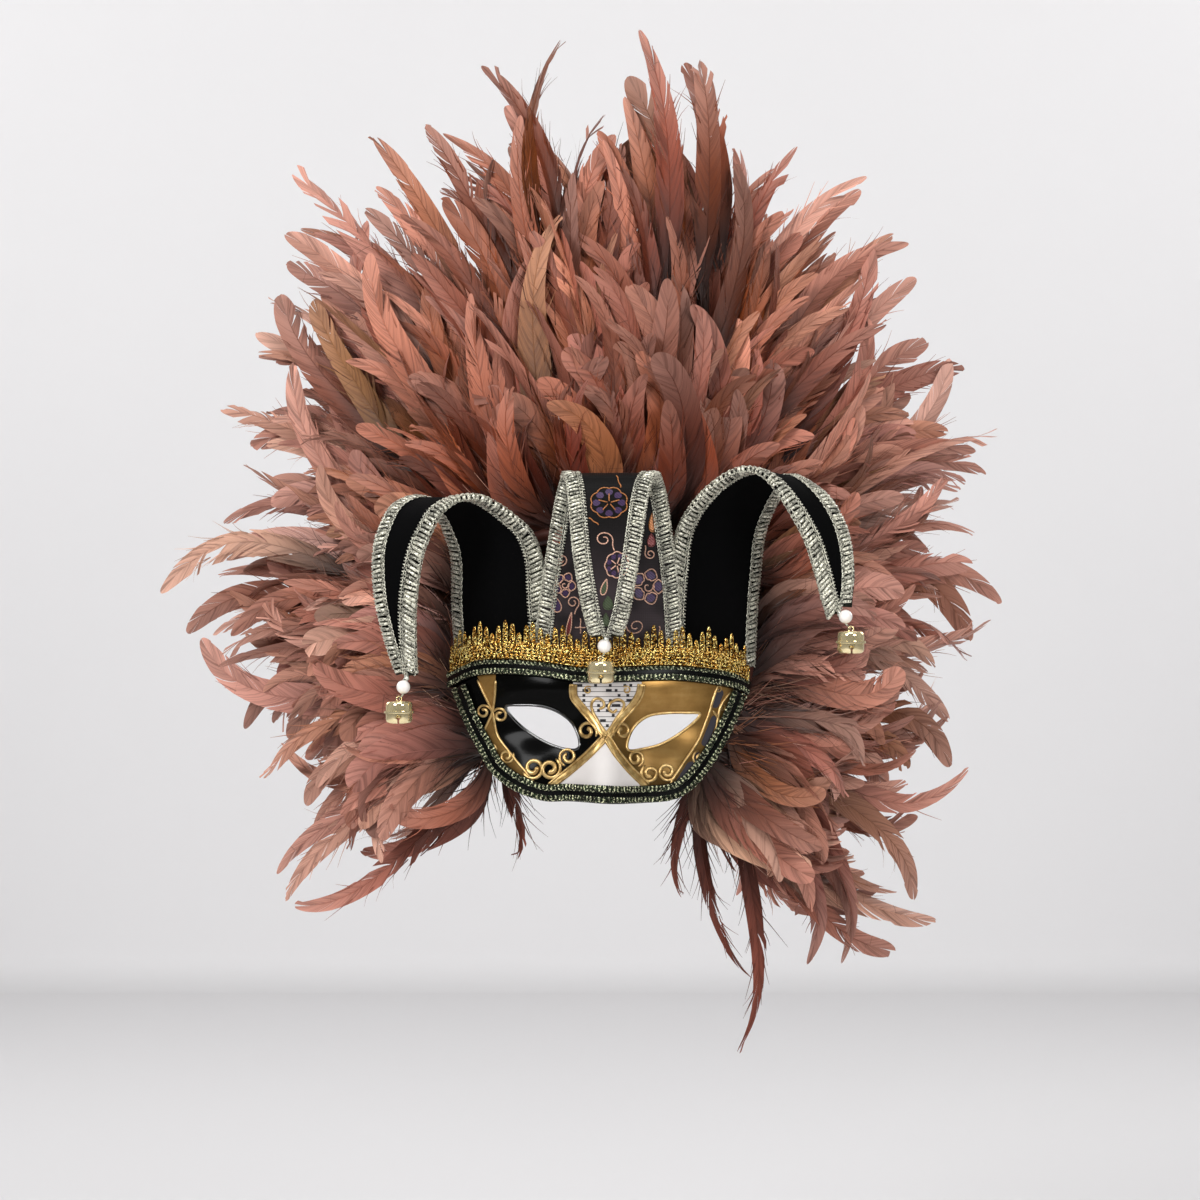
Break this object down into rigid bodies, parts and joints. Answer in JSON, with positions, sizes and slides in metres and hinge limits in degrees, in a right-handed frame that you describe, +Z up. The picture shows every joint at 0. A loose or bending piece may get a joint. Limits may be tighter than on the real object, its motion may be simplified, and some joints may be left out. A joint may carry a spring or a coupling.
{
  "type": "feather masquerade mask",
  "caption": "Half mask with a folded jester crown of velvet and brocade strips, braid, gold lace and bells, in front of a fan of long dusty-rose feathers.",
  "frame": {"origin": "inner side of the nose bridge at eye level, where the mask sits on the face", "axes": "+Z up, the mask faces -Y, +X to the right of someone who looks at its front"},
  "size_m": [0.5248, 0.1967, 0.6212],
  "materials": {
    "mask_paint": "glossy black paint on a moulded shell, with gold and white painted fields",
    "gilding": "soft gold paint on raised scrollwork",
    "dark_braid": "black braid with dark green metallic loops",
    "silver_braid": "silver-green metallic gimp braid",
    "gold_lace": "glittering gold thread lace",
    "velvet": "black velvet",
    "brocade": "black satin brocade with purple flowers outlined in copper thread",
    "pearl": "pearl bead",
    "bell_gold": "polished pale gold",
    "feather": "dyed dusty-rose rooster feathers with a silky sheen"
  },
  "bodies": {
    "root": {"mask_shell": "mask_paint", "brow_braid": "dark_braid", "lower_braid": "dark_braid", "gold_lace": "gold_lace", "crown_centre": "brocade", "horn_left": "velvet", "horn_right": "velvet", "trim_centre_left": "silver_braid", "trim_centre_right": "silver_braid", "trim_left_inner": "silver_braid", "trim_left_outer": "silver_braid", "trim_right_inner": "silver_braid", "trim_right_outer": "silver_braid", "pearl_centre": "pearl", "bell_centre": "bell_gold", "pearl_left": "pearl", "bell_left": "bell_gold", "pearl_right": "pearl", "bell_right": "bell_gold", "feathers_back": "feather", "feathers_middle": "feather", "feathers_front": "feather"}
  },
  "joints": []
}
